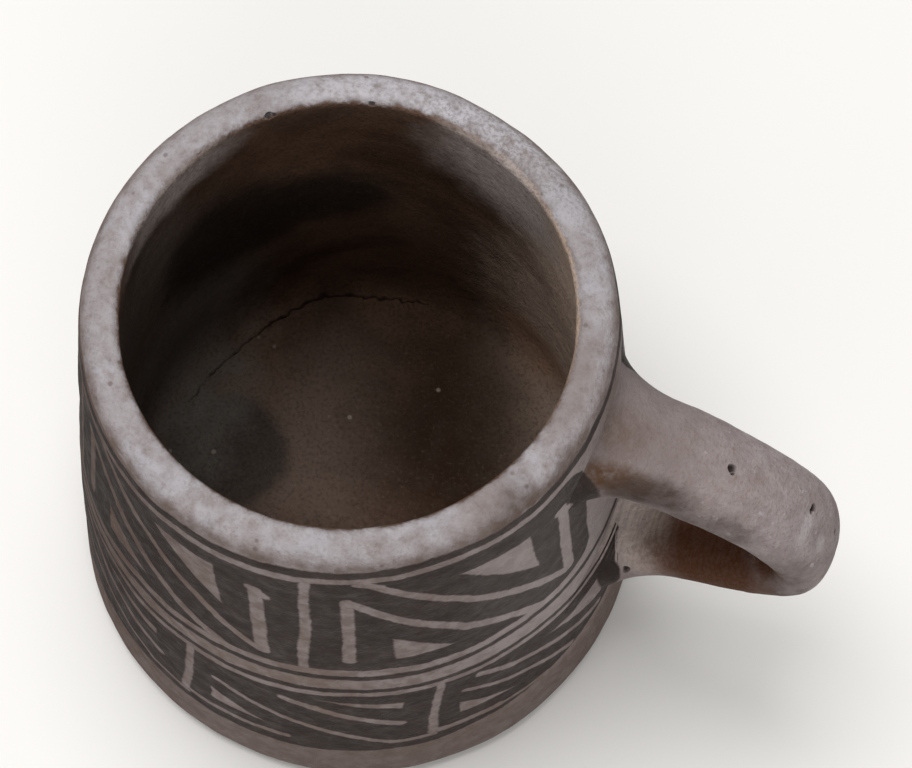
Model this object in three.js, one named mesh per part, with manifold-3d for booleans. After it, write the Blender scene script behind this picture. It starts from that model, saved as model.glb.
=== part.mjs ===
// A coil-built pottery mug: a flat clay base, wall courses lapped one inside the next, a rounded rim
// and a strap handle whose two ends are let through the wall and sealed with clay.
// Millimetres, +Z up. The origin is the centre of the underside, and the handle points along +X.
import * as THREE from 'three';
import { mergeVertices } from 'three/addons/utils/BufferGeometryUtils.js';
import Module from 'manifold-3d';

const wasm = await Module();
wasm.setup();

// Body: the wall leans in from the foot to the lip and bows out a little on the way.
const bodyHeight = 106.5;
const rimRadius = 46;
const footRadius = 55;
const bowPower = 0.83;
const mouthWall = 7.2;
const footWall = 8.2;
const floorThickness = 9;
const outerLipRounding = 3.4;
const innerLipRounding = 1.6;
const footRounding = 4;

// Wall courses: each laps down the inside of the one below, and the first spreads over the floor as a cove.
const courseCount = 7;
const rimCourseHeight = 10;
const lapDrop = 3;
const coveRise = 8;
const coveSpread = 3.7;
const coveEdge = 0.6;

// Handle: a strap that leaves the wall almost level, turns down and comes back on a slope.
const upperRootDrop = 17.1;
const rootSpan = 49.8;
const bendDrop = 23.3;
const bendStandoff = 36.3;
const upperLead = 25;
const upperDroop = 1.3;
const upperTurn = 13;
const lowerTurn = 12.5;
const lowerLead = 18.5;
const lowerRise = 10.9;
const upperStrapWidth = 20;
const lowerStrapWidth = 17;
const strapThickness = 11;
const strapSquareness = 2.3;

// Handle joints: a tenon at each end, and a collar of luting clay that fills the angle with the wall.
const tenonWidth = 12;
const tenonThickness = 6;
const jointGap = 0.3;
const weldLength = 10;
const weldSideSpread = 5.5;
const weldCapSpread = 2.5;
const weldEdge = 0.7;

// How finely round forms are cut.
const turnedSides = 60;
const arcSteps = 4;
const sectionSides = 20;
const strapSteps = 26;
const weldSteps = 8;

// Finishes: bare clay underneath, grey slip on the wall, a rubbed rim, a handled strap and browner joints.
const bareClay = { color: 0x8a817e, roughness: 0.85 };
const wallSlip = { color: 0xa39b99, roughness: 0.75 };
const rubbedRim = { color: 0xb4aead, roughness: 0.6 };
const strapSlip = { color: 0x978c8a, roughness: 0.7 };
const jointClay = { color: 0x857367, roughness: 0.8 };

function outerRadius(z) {
  const fall = Math.max(bodyHeight - z, 0) / bodyHeight;
  return rimRadius + (footRadius - rimRadius) * fall ** bowPower;
}

function innerRadius(z) {
  const fall = (bodyHeight - z) / (bodyHeight - floorThickness);
  return outerRadius(z) - (mouthWall + (footWall - mouthWall) * fall);
}

const outerPoint = (z) => new THREE.Vector2(outerRadius(z), z);
const innerPoint = (z) => new THREE.Vector2(innerRadius(z), z);

// Points of a quarter round from one angle to another about a centre in the profile plane.
function arc(centreRadius, centreHeight, radius, from, to) {
  const points = [];
  for (let step = 0; step <= arcSteps; step += 1) {
    const angle = THREE.MathUtils.lerp(from, to, step / arcSteps);
    const r = centreRadius + radius * Math.cos(angle);
    const z = centreHeight + radius * Math.sin(angle);
    points.push(new THREE.Vector2(r, z));
  }
  return points;
}

// A profile turned about the mug's axis. The points run up the outside and down the inside.
function turned(profile) {
  return new THREE.LatheGeometry(profile, turnedSides).rotateX(Math.PI / 2);
}

// A ring turned from a profile that is closed on itself.
function turnedRing(profile) {
  return turned([...profile, profile[0].clone()]);
}

function solidFrom(geometry) {
  const bare = geometry.clone();
  bare.deleteAttribute('normal');
  bare.deleteAttribute('uv');
  const merged = mergeVertices(bare, 1e-4);
  const mesh = new wasm.Mesh({
    numProp: 3,
    vertProperties: merged.attributes.position.array,
    triVerts: new Uint32Array(merged.index.array),
  });
  return new wasm.Manifold(mesh);
}

function geometryFrom(solid) {
  const mesh = solid.getMesh();
  const geometry = new THREE.BufferGeometry();
  geometry.setAttribute('position', new THREE.BufferAttribute(mesh.vertProperties, 3));
  geometry.setIndex(new THREE.BufferAttribute(mesh.triVerts, 1));
  return geometry;
}

// Base: a slab with a flat underside, a rounded foot and a level floor.
function baseDisc() {
  const footCentre = outerRadius(footRounding) - footRounding;
  return turned([
    new THREE.Vector2(0, 0),
    ...arc(footCentre, footRounding, footRounding, -Math.PI / 2, 0),
    outerPoint(floorThickness),
    new THREE.Vector2(0, floorThickness),
  ]);
}

const wallTop = bodyHeight - rimCourseHeight;
const courseHeight = (wallTop - floorThickness) / courseCount;
const seamHeight = (index) => floorThickness + courseHeight * index;

// The first course's inside: down the wall, round the cove and out to its thin edge on the floor.
function coveProfile() {
  const top = innerPoint(floorThickness + coveRise);
  const corner = innerPoint(floorThickness);
  const edge = new THREE.Vector2(corner.x - coveSpread, floorThickness + coveEdge);
  const bend = new THREE.Vector2(corner.x, edge.y);
  const curve = new THREE.QuadraticBezierCurve(top, bend, edge);
  return [...curve.getPoints(arcSteps), new THREE.Vector2(edge.x, floorThickness)];
}

// One wall course, counted from 1 at the floor.
function wallCourse(number) {
  const low = seamHeight(number - 1);
  const high = seamHeight(number);
  const middle = (low + high) / 2;
  const outside = [outerPoint(low), outerPoint(middle), outerPoint(high)];
  const topInside = innerPoint(high - lapDrop);
  if (number === 1) {
    return turnedRing([...outside, topInside, ...coveProfile()]);
  }
  const inside = [topInside, innerPoint(middle - lapDrop), innerPoint(low - lapDrop)];
  return turnedRing([...outside, ...inside]);
}

// Rim: the last course, with a rounded lip.
function rimCourse() {
  const outerCentre = outerRadius(bodyHeight - outerLipRounding) - outerLipRounding;
  const innerCentre = innerRadius(bodyHeight - innerLipRounding) + innerLipRounding;
  return turnedRing([
    outerPoint(wallTop),
    ...arc(outerCentre, bodyHeight - outerLipRounding, outerLipRounding, 0, Math.PI / 2),
    ...arc(innerCentre, bodyHeight - innerLipRounding, innerLipRounding, Math.PI / 2, Math.PI),
    innerPoint(wallTop - lapDrop),
  ]);
}

const upperRootHeight = bodyHeight - upperRootDrop;
const lowerRootHeight = upperRootHeight - rootSpan;
const bendHeight = upperRootHeight - bendDrop;
const bendRadius = outerRadius(bendHeight) + bendStandoff;

// The strap's centre line lies in the XZ plane and starts and ends at the wall's inner face.
function handleLine() {
  const upperRoot = innerRadius(upperRootHeight);
  const lowerRoot = innerRadius(lowerRootHeight);
  const bend = new THREE.Vector3(bendRadius, 0, bendHeight);
  const line = new THREE.CurvePath();
  line.add(new THREE.CubicBezierCurve3(
    new THREE.Vector3(upperRoot, 0, upperRootHeight),
    new THREE.Vector3(upperRoot + upperLead, 0, upperRootHeight - upperDroop),
    new THREE.Vector3(bendRadius, 0, bendHeight + upperTurn),
    bend,
  ));
  line.add(new THREE.CubicBezierCurve3(
    bend,
    new THREE.Vector3(bendRadius, 0, bendHeight - lowerTurn),
    new THREE.Vector3(lowerRoot + lowerLead, 0, lowerRootHeight + lowerRise),
    new THREE.Vector3(lowerRoot, 0, lowerRootHeight),
  ));
  return line;
}

const centreLine = handleLine();
const lineLength = centreLine.getLength();

const strapWidth = (along) => THREE.MathUtils.lerp(upperStrapWidth, lowerStrapWidth, along);

// Point at a distance along the centre line, carried straight on past either end.
function lineFrame(distance) {
  const along = THREE.MathUtils.clamp(distance / lineLength, 0, 1);
  const tangent = centreLine.getTangent(along);
  const centre = centreLine.getPoint(along);
  centre.addScaledVector(tangent, distance - along * lineLength);
  const across = new THREE.Vector3(0, 1, 0);
  const out = new THREE.Vector3().crossVectors(tangent, across);
  return { centre, across, out, along };
}

// A rounded section set square to the centre line, as a ring of points.
function section(distance, width, thickness) {
  const { centre, across, out } = lineFrame(distance);
  const swell = (value) => Math.sign(value) * Math.abs(value) ** (2 / strapSquareness);
  const ring = [];
  for (let side = 0; side < sectionSides; side += 1) {
    const angle = (2 * Math.PI * side) / sectionSides;
    const point = centre.clone();
    point.addScaledVector(across, (swell(Math.cos(angle)) * width) / 2);
    point.addScaledVector(out, (swell(Math.sin(angle)) * thickness) / 2);
    ring.push(point);
  }
  return ring;
}

// A skin over a row of rings, closed by a flat cap at each end.
function loft(rings) {
  const sides = rings[0].length;
  const positions = rings.flat().flatMap((point) => point.toArray());
  const faces = [];
  for (let row = 0; row < rings.length - 1; row += 1) {
    for (let side = 0; side < sides; side += 1) {
      const next = (side + 1) % sides;
      const here = row * sides;
      const there = here + sides;
      faces.push(here + side, here + next, there + side);
      faces.push(here + next, there + next, there + side);
    }
  }
  const last = (rings.length - 1) * sides;
  for (let side = 1; side < sides - 1; side += 1) {
    faces.push(0, side + 1, side);
    faces.push(last, last + side, last + side + 1);
  }
  const geometry = new THREE.BufferGeometry();
  geometry.setAttribute('position', new THREE.Float32BufferAttribute(positions, 3));
  geometry.setIndex(faces);
  return geometry;
}

// The strap along its whole line, grown all round by a margin.
function strapSolid(margin) {
  const rings = [];
  for (let step = 0; step <= strapSteps; step += 1) {
    const along = step / strapSteps;
    const width = strapWidth(along) + 2 * margin;
    rings.push(section(along * lineLength, width, strapThickness + 2 * margin));
  }
  return solidFrom(loft(rings));
}

// A tenon grown by a margin. It starts a strap's thickness past one wall face and ends as far past the other.
function tenonSolid(wallDistance, margin) {
  const width = tenonWidth + 2 * margin;
  const thickness = tenonThickness + 2 * margin;
  const reach = Math.max(mouthWall, footWall) + strapThickness;
  const stations = [wallDistance - reach, wallDistance, wallDistance + reach];
  return solidFrom(loft(stations.map((distance) => section(distance, width, thickness))));
}

const upperWallDistance = mouthWall;
const lowerWallDistance = lineLength - footWall;
const upperTenon = (margin) => tenonSolid(upperWallDistance, margin);
const lowerTenon = (margin) => tenonSolid(lowerWallDistance, margin);

// The whole pot as one plug grown by a margin, and the space inside it.
function potPlug(margin) {
  const heights = [];
  for (let half = 0; half <= 2 * courseCount; half += 1) {
    heights.push(seamHeight(half / 2));
  }
  heights.push(bodyHeight - outerLipRounding, bodyHeight);
  const outside = heights.map((z) => new THREE.Vector2(outerRadius(z) + margin, z));
  const foot = new THREE.Vector2(0, floorThickness);
  const top = new THREE.Vector2(0, bodyHeight);
  return solidFrom(turned([foot, ...outside, top]));
}

function potSpace() {
  const inside = [];
  for (let index = 1; index <= courseCount; index += 1) {
    inside.push(innerPoint(seamHeight(index) - lapDrop));
    inside.push(innerPoint(seamHeight(index) - lapDrop + courseHeight / 2));
  }
  const foot = new THREE.Vector2(0, inside[0].y);
  const top = new THREE.Vector2(0, inside[inside.length - 1].y);
  return solidFrom(turned([foot, ...inside, top]));
}

const plugWithGap = potPlug(jointGap);
const tenonHoles = [upperTenon(jointGap), lowerTenon(jointGap)];

// Strap: butts against the wall with its shoulders, and its tenons end flush with the wall's inner face.
function handleStrap() {
  const limbs = strapSolid(0).subtract(plugWithGap);
  const space = potSpace();
  const tenons = upperTenon(0).add(lowerTenon(0)).subtract(space);
  return geometryFrom(limbs.add(tenons));
}

// Collar of clay round one root: widest on the wall, drawn out to a thin edge along the strap.
function handleWeld(wallDistance, direction) {
  const rings = [];
  for (let step = 0; step <= weldSteps; step += 1) {
    const reach = THREE.MathUtils.lerp(-mouthWall, weldLength, step / weldSteps);
    const fade = Math.min((weldLength - reach) / weldLength, 1) ** 2;
    const distance = wallDistance + direction * reach;
    const width = strapWidth(lineFrame(distance).along) + 2 * (weldEdge + weldSideSpread * fade);
    const thickness = strapThickness + 2 * (weldEdge + weldCapSpread * fade);
    rings.push(section(distance, width, thickness));
  }
  if (direction < 0) {
    rings.reverse();
  }
  const collar = solidFrom(loft(rings));
  return geometryFrom(collar.subtract(plugWithGap).subtract(strapSolid(jointGap)));
}

const upperWeld = () => handleWeld(upperWallDistance, 1);
const lowerWeld = () => handleWeld(lowerWallDistance, -1);

// Courses and rim are pierced wherever a tenon passes.
function pierced(geometry) {
  const solid = tenonHoles.reduce((left, hole) => left.subtract(hole), solidFrom(geometry));
  return geometryFrom(solid);
}

function named(name, geometry, finish) {
  const material = new THREE.MeshStandardMaterial({ ...finish, metalness: 0 });
  const mesh = new THREE.Mesh(geometry, material);
  mesh.name = name;
  return mesh;
}

const mug = new THREE.Group();
mug.name = 'pottery_mug';
mug.add(named('base_disc', baseDisc(), bareClay));
for (let number = 1; number <= courseCount; number += 1) {
  mug.add(named(`wall_coil_${number}`, pierced(wallCourse(number)), wallSlip));
}
mug.add(named('rim_coil', pierced(rimCourse()), rubbedRim));
mug.add(named('handle_strap', handleStrap(), strapSlip));
mug.add(named('upper_handle_weld', upperWeld(), jointClay));
mug.add(named('lower_handle_weld', lowerWeld(), jointClay));

export default mug;
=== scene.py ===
import bpy
from math import atan2, cos, degrees, hypot, pi, radians, sin, sqrt
from mathutils import Matrix, Vector, noise


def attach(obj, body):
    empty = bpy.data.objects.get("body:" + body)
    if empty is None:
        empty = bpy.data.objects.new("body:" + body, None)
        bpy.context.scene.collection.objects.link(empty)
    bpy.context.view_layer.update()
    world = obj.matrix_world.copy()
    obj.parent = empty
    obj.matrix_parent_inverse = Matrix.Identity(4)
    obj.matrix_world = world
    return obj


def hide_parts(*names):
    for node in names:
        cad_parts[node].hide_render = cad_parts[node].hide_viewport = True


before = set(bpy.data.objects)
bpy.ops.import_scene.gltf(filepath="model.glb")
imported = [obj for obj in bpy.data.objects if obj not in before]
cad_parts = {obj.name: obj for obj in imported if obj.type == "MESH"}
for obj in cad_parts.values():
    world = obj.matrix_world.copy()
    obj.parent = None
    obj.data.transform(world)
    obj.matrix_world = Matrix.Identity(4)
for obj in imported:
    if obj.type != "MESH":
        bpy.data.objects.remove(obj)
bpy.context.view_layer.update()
print("frame loaded:", len(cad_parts), "nodes")

# Sizes shared by every piece, in metres, the handle along +X and the lip at the top.
mug = {
    "height": 0.1065,
    "rimRadius": 0.046,
    "footRadius": 0.055,
    "bow": 0.83,
    "mouthWall": 0.0072,
    "footWall": 0.0082,
    "floor": 0.009,
}


def outerRadius(z):
    drop = min(max((mug["height"] - z) / mug["height"], 0.0), 1.0)
    return mug["rimRadius"] + (mug["footRadius"] - mug["rimRadius"]) * drop ** mug["bow"]


def innerRadius(z):
    drop = (mug["height"] - z) / (mug["height"] - mug["floor"])
    return outerRadius(z) - mug["mouthWall"] - (mug["footWall"] - mug["mouthWall"]) * drop


# Bench tools: each one acts on the active piece.
bench = {"weldGap": 0.00001, "lumpDetail": 2}


def startRing(name, sides, radius, fill="NOTHING"):
    bpy.ops.object.select_all(action="DESELECT")
    bpy.ops.mesh.primitive_circle_add(
        vertices=sides, radius=radius, fill_type=fill, location=(0, 0, 0))
    piece = bpy.context.object
    piece.name = name
    piece.data.name = name
    return piece


def editRims(piece):
    bpy.ops.object.mode_set(mode="EDIT")
    bpy.ops.mesh.select_mode(type="EDGE")
    bpy.ops.mesh.select_all(action="SELECT")
    if piece.data.polygons:
        bpy.ops.mesh.region_to_loop()


def pullRing(move):
    bpy.ops.mesh.extrude_region_move(TRANSFORM_OT_translate={"value": move})


def applyModifier(piece, kind, name, **settings):
    made = piece.modifiers.new(name, kind)
    for label, value in settings.items():
        setattr(made, label, value)
    bpy.context.view_layer.objects.active = piece
    bpy.ops.object.modifier_apply(modifier=made.name)


def handUneven(piece, name, size, depth):
    lumps = bpy.data.textures.new(name, "CLOUDS")
    lumps.noise_scale = size
    lumps.noise_depth = bench["lumpDetail"]
    applyModifier(
        piece, "DISPLACE", name, texture=lumps, texture_coords="LOCAL",
        strength=depth, mid_level=0.5)


def tighten(piece, isNear, cuts):
    mesh = piece.data
    mesh.vertices.foreach_set("select", [False] * len(mesh.vertices))
    mesh.edges.foreach_set("select", [False] * len(mesh.edges))
    mesh.polygons.foreach_set("select", [isNear(face.center) for face in mesh.polygons])
    bpy.ops.object.select_all(action="DESELECT")
    piece.select_set(True)
    bpy.context.view_layer.objects.active = piece
    bpy.context.tool_settings.mesh_select_mode = (False, False, True)
    bpy.ops.object.mode_set(mode="EDIT")
    bpy.ops.mesh.subdivide(number_cuts=cuts)
    bpy.ops.object.mode_set(mode="OBJECT")


def closeSkin(piece):
    bpy.ops.object.mode_set(mode="EDIT")
    bpy.ops.mesh.select_all(action="SELECT")
    bpy.ops.mesh.remove_doubles(threshold=bench["weldGap"])
    bpy.ops.mesh.normals_make_consistent(inside=False)
    bpy.ops.object.mode_set(mode="OBJECT")
    bpy.ops.object.select_all(action="DESELECT")
    piece.select_set(True)
    bpy.ops.object.shade_smooth()


def eased(value):
    value = min(max(value, 0.0), 1.0)
    return value * value * (3 - 2 * value)


# The pot: one skin from the underside, up the wall, over the lip and down to the floor inside.
pot = {
    "sides": 64,
    "startRadius": 0.013,
    "footRounding": 0.004,
    "outerLip": 0.0042,
    "innerLip": 0.0015,
    "coveRise": 0.008,
    "coveSpread": 0.0037,
    # rings of the flat parts, from the middle out and from the cove in
    "undersideRings": (0.026, 0.038, 0.046),
    "floorRings": (0.0405, 0.037, 0.031, 0.025, 0.019, 0.013),
    "footSteps": 3,
    "wallRings": 24,
    "outerLipSteps": 4,
    "innerLipSteps": 3,
    "insideRings": 20,
    "coveSteps": 4,
    "smoothing": 2,
    # out of true: middle angle and half spread in degrees, how far in, and how far down it fades
    "dent": {"at": 73, "spread": 38, "depth": 0.0007, "fade": 0.045},
    # the hand's unevenness: how broad and how deep
    "lumps": {"broad": (0.05, 0.0011), "pinch": (0.014, 0.0005), "scrape": (0.0045, 0.00016)},
}


def arc(centre, radius, fromAngle, toAngle, steps):
    points = []
    for step in range(steps + 1):
        angle = radians(fromAngle + (toAngle - fromAngle) * step / steps)
        points.append((centre[0] + radius * cos(angle), centre[1] + radius * sin(angle)))
    return points


def potOutline():
    top = mug["height"]
    foot = pot["footRounding"]
    outer = pot["outerLip"]
    inner = pot["innerLip"]
    cove = mug["floor"] + pot["coveRise"]
    points = [(radius, 0.0) for radius in pot["undersideRings"]]
    points += arc((outerRadius(foot) - foot, foot), foot, -90, 0, pot["footSteps"])
    wallTop = top - outer
    for step in range(1, pot["wallRings"]):
        z = foot + (wallTop - foot) * step / pot["wallRings"]
        points.append((outerRadius(z), z))
    points += arc((outerRadius(wallTop) - outer, wallTop), outer, 0, 90, pot["outerLipSteps"])
    insideTop = top - inner
    lipCentre = (innerRadius(insideTop) + inner, insideTop)
    points += arc(lipCentre, inner, 90, 180, pot["innerLipSteps"])
    for step in range(1, pot["insideRings"]):
        z = insideTop + (cove - insideTop) * step / pot["insideRings"]
        points.append((innerRadius(z), z))
    for step in range(pot["coveSteps"] + 1):
        turn = radians(90 * step / pot["coveSteps"])
        r = innerRadius(cove) - pot["coveSpread"] * (1 - cos(turn))
        points.append((r, cove - pot["coveRise"] * sin(turn)))
    points += [(radius, mug["floor"]) for radius in pot["floorRings"]]
    return points


def turnPot():
    piece = startRing("mugBody", pot["sides"], pot["startRadius"], "TRIFAN")
    # smoothing draws every ring in by this much, so all of them start larger
    swell = 6 / (4 + 2 * cos(2 * pi / pot["sides"]))
    editRims(piece)
    bpy.ops.transform.resize(value=(swell, swell, 1), center_override=(0, 0, 0))
    radius, height = pot["startRadius"], 0.0
    for nextRadius, nextHeight in potOutline():
        pullRing((0, 0, nextHeight - height))
        grow = nextRadius / radius
        bpy.ops.transform.resize(value=(grow, grow, 1), center_override=(0, 0, 0))
        radius, height = nextRadius, nextHeight
    bpy.ops.mesh.edge_face_add()
    bpy.ops.mesh.poke()
    bpy.ops.object.mode_set(mode="OBJECT")
    closeSkin(piece)
    applyModifier(piece, "SUBSURF", "smoothClay", levels=pot["smoothing"])
    for name, (size, depth) in pot["lumps"].items():
        handUneven(piece, "pot" + name, size, depth)
    dent = pot["dent"]
    for point in piece.data.vertices:
        point.co.z = max(point.co.z, 0.0)
        away = abs(degrees(atan2(point.co.y, point.co.x)) - dent["at"]) / dent["spread"]
        low = (mug["height"] - point.co.z) / dent["fade"]
        pull = dent["depth"] * eased(1 - away) * eased(1 - low)
        point.co -= Vector((point.co.x, point.co.y, 0)).normalized() * pull
    print("pot turned:", len(piece.data.polygons), "faces")
    return piece


mugBody = turnPot()

# The handle: a strap loop whose two roots flare and follow the wall.
strap = {
    "upper": ((0.04101, 0.0894), (0.06601, 0.0881), (0.08633, 0.0791), (0.08633, 0.0661)),
    "lower": ((0.08633, 0.0661), (0.08633, 0.0536), (0.06289, 0.0505), (0.04439, 0.0396)),
    "upperWidth": 0.020,
    "lowerWidth": 0.0158,
    "thickness": 0.011,
    "squareness": 2.3,
    "sides": 28,
    "steps": 26,
    "smoothing": 3,
    # ways along the loop, 0 at the upper end and 2 at the lower: where the roots are looked for
    "upperSearch": (0.0, 0.7),
    "lowerSearch": (2.0, 1.3),
    "halvings": 40,
    "measureSteps": 400,
    "settleTurns": 8,
    "flareLength": {"upper": 0.010, "lower": 0.014},
    "sideSpread": {"upper": 0.0058, "lower": 0.0122},
    "capSpread": 0.003,
    # how far from the wall the rings of a root sit
    "seats": (-0.0025, 0.0, 0.0004, 0.0012, 0.0026, 0.0048, 0.0075, 0.0105, 0.0140),
    "lumps": {"broad": (0.03, 0.0009), "pinch": (0.011, 0.0005), "scrape": (0.0035, 0.00014)},
}


def strapPoint(way):
    corners = strap["upper"] if way < 1 else strap["lower"]
    t = way if way < 1 else way - 1
    weights = ((1 - t) ** 3, 3 * t * (1 - t) ** 2, 3 * t * t * (1 - t), t ** 3)
    slopes = (-3 * (1 - t) ** 2, 3 * (1 - t) * (1 - 3 * t), 3 * t * (2 - 3 * t), 3 * t * t)
    x = sum(w * c[0] for w, c in zip(weights, corners))
    z = sum(w * c[1] for w, c in zip(weights, corners))
    along = Vector((sum(s * c[0] for s, c in zip(slopes, corners)), 0,
                    sum(s * c[1] for s, c in zip(slopes, corners)))).normalized()
    return Vector((x, 0, z)), along


def clearOfWall(point):
    return hypot(point.x, point.y) - outerRadius(point.z)


def wayAtClearance(clearance, near, far):
    # near is the end inside the wall
    for _ in range(strap["halvings"]):
        middle = (near + far) / 2
        if clearOfWall(strapPoint(middle)[0]) < clearance:
            near = middle
        else:
            far = middle
    return (near + far) / 2


def strapStations():
    ways = [wayAtClearance(seat, *strap["upperSearch"]) for seat in strap["seats"]]
    back = [wayAtClearance(seat, *strap["lowerSearch"]) for seat in strap["seats"]]
    first, last = ways[-1], back[-1]
    steps = strap["measureSteps"]
    lengths, spots = [0.0], [first]
    for step in range(1, steps + 1):
        spots.append(first + (last - first) * step / steps)
        lengths.append(lengths[-1] + (strapPoint(spots[-1])[0] - strapPoint(spots[-2])[0]).length)
    for step in range(1, strap["steps"]):
        goal = lengths[-1] * step / strap["steps"]
        ways.append(next(spot for spot, length in zip(spots, lengths) if length >= goal))
    return ways + back[::-1]


def flareAt(clearance, root):
    gone = min(max(clearance / strap["flareLength"][root], 0.0), 1.0)
    return 1 - sqrt(1 - (1 - gone) ** 2)


def seatRing(points, way, clearance):
    # spreads a ring and slides it along the strap until it follows the wall
    centre, along = strapPoint(way)
    across = Vector((0, 1, 0))
    upward = along.cross(across)
    root = "upper" if way < 1 else "lower"
    flare = flareAt(clearance, root)
    sideSpread = strap["sideSpread"][root]
    for point in points:
        offset = point.co - centre
        side, cap = offset.dot(across), offset.dot(upward)
        reach = hypot(side / strap["upperWidth"], cap / strap["thickness"])
        point.co += across * (flare * sideSpread * side / strap["upperWidth"] / reach)
        point.co += upward * (flare * strap["capSpread"] * cap / strap["thickness"] / reach)
        for _ in range(strap["settleTurns"]):
            outward = Vector((point.co.x, point.co.y, 0)).normalized()
            gap = clearOfWall(point.co) - clearance
            point.co -= along * (gap / along.dot(outward))


def buildStrap():
    ways = strapStations()
    centre, along = strapPoint(ways[0])
    angle = atan2(along.x, along.z)
    sides = strap["sides"]
    piece = startRing("mugHandle", sides, 1.0)
    power = 2 / strap["squareness"]
    for point in piece.data.vertices:
        x, y = point.co.x, point.co.y
        point.co.x = strap["thickness"] / 2 * abs(x) ** power * (1 if x > 0 else -1)
        point.co.y = strap["upperWidth"] / 2 * abs(y) ** power * (1 if y > 0 else -1)
    editRims(piece)
    bpy.ops.transform.rotate(value=-angle, orient_axis="Y", center_override=(0, 0, 0))
    bpy.ops.transform.translate(value=centre)
    width = strap["upperWidth"]
    for way in ways[1:]:
        nextCentre, along = strapPoint(way)
        nextAngle = atan2(along.x, along.z)
        turn = (nextAngle - angle + pi) % (2 * pi) - pi
        pullRing(nextCentre - centre)
        bpy.ops.transform.rotate(value=-turn, orient_axis="Y", center_override=nextCentre)
        nextWidth = strap["upperWidth"] + (strap["lowerWidth"] - strap["upperWidth"]) * way / 2
        bpy.ops.transform.resize(value=(1, nextWidth / width, 1), center_override=nextCentre)
        centre, angle, width = nextCentre, nextAngle, nextWidth
    bpy.ops.object.mode_set(mode="OBJECT")
    points = piece.data.vertices
    seats = strap["seats"]
    for ring, clearance in enumerate(seats):
        seatRing(points[ring * sides:(ring + 1) * sides], ways[ring], clearance)
        last = len(ways) - 1 - ring
        seatRing(points[last * sides:(last + 1) * sides], ways[last], clearance)
    bpy.ops.object.mode_set(mode="EDIT")
    bpy.ops.mesh.select_all(action="SELECT")
    bpy.ops.mesh.region_to_loop()
    bpy.ops.mesh.edge_face_add()
    bpy.ops.object.mode_set(mode="OBJECT")
    closeSkin(piece)
    applyModifier(piece, "SUBSURF", "smoothClay", levels=strap["smoothing"])
    for name, (size, depth) in strap["lumps"].items():
        handUneven(piece, "strap" + name, size, depth)
    print("strap built:", len(piece.data.polygons), "faces")
    return piece


mugHandle = buildStrap()

# Pits, chips and the floor's seam crack, pressed into the finished skins.
# How deep a point went in is kept as an attribute, for the dirt.
wear = {
    # each pit: where, how wide and how deep
    "potPits": (
        ((-0.0256, 0.0298, 0.1060), 0.0008, 0.0006), ((-0.0249, 0.0303, 0.1059), 0.0005, 0.0004),
        ((-0.0095, 0.0381, 0.1059), 0.0006, 0.0005),
        ((-0.0011, 0.0396, 0.0992), 0.0006, 0.0005), ((0.0035, 0.0393, 0.1015), 0.0005, 0.0005),
        ((0.0087, 0.0384, 0.1013), 0.0008, 0.0006), ((0.0120, 0.0372, 0.1035), 0.0006, 0.0005),
        ((0.0150, 0.0359, 0.1047), 0.0007, 0.0006), ((0.0185, 0.0343, 0.1052), 0.0005, 0.0005),
    ),
    "strapPits": (
        ((0.0700, 0.0006, 0.0895), 0.0008, 0.0012), ((0.0704, -0.0002, 0.0894), 0.0005, 0.0009),
        ((0.0855, 0.0018, 0.0799), 0.0008, 0.0010), ((0.0853, 0.0011, 0.0801), 0.0006, 0.0007),
        ((0.0904, 0.0014, 0.0726), 0.0005, 0.0006), ((0.0906, 0.0005, 0.0714), 0.0004, 0.0005),
        ((0.0566, -0.0100, 0.0484), 0.0008, 0.0007),
    ),
    "potCuts": 3,
    "strapCuts": 2,
    "pitFaces": 2.2,  # how far round a pit faces are cut finer, in pit sizes
    "pitPoints": 2.0,
    "pitRagged": (0.45, 1300),
    "pitEdge": (1.1, 0.5),
    # points on the floor's edge with the crack's half width there
    "crack": (
        (-0.0396, 0.0072, 0.00006), (-0.0377, 0.0128, 0.00010), (-0.0356, 0.0185, 0.00014),
        (-0.0334, 0.0225, 0.00018), (-0.0311, 0.0263, 0.00022), (-0.0288, 0.0299, 0.00024),
        (-0.0263, 0.0332, 0.00022), (-0.0239, 0.0360, 0.00024), (-0.0209, 0.0380, 0.00020),
        (-0.0184, 0.0394, 0.00018), (-0.0155, 0.0402, 0.00018), (-0.0126, 0.0407, 0.00016),
        (-0.0099, 0.0415, 0.00016), (-0.0056, 0.0423, 0.00012), (-0.0008, 0.0433, 0.00006),
    ),
    "crackCuts": 3,
    "crackReach": 0.0016,
    "crackHeights": (0.005, 0.013),  # only the floor's upper side
    "crackInside": 0.036,
    "crackDepth": 0.0012,
    "crackJitter": 0.0006,
    "crackSeed": 5,
    "crackSways": (300, 750),
    "crackEdge": (1.3, 0.8),
}


def crackGap(point):
    # distance to the crack's line and its half width at the nearest place
    best = (1.0, 0.0)
    line = wear["crack"]
    for (ax, ay, aWide), (bx, by, bWide) in zip(line, line[1:]):
        runX, runY = bx - ax, by - ay
        share = ((point.x - ax) * runX + (point.y - ay) * runY) / (runX * runX + runY * runY)
        share = min(max(share, 0.0), 1.0)
        gap = hypot(point.x - ax - runX * share, point.y - ay - runY * share)
        if gap < best[0]:
            best = (gap, aWide + (bWide - aWide) * share)
    return best


def nearCrack(point):
    low, high = wear["crackHeights"]
    if not low < point.z < high or hypot(point.x, point.y) <= wear["crackInside"]:
        return False
    return crackGap(point)[0] < wear["crackReach"]


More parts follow.
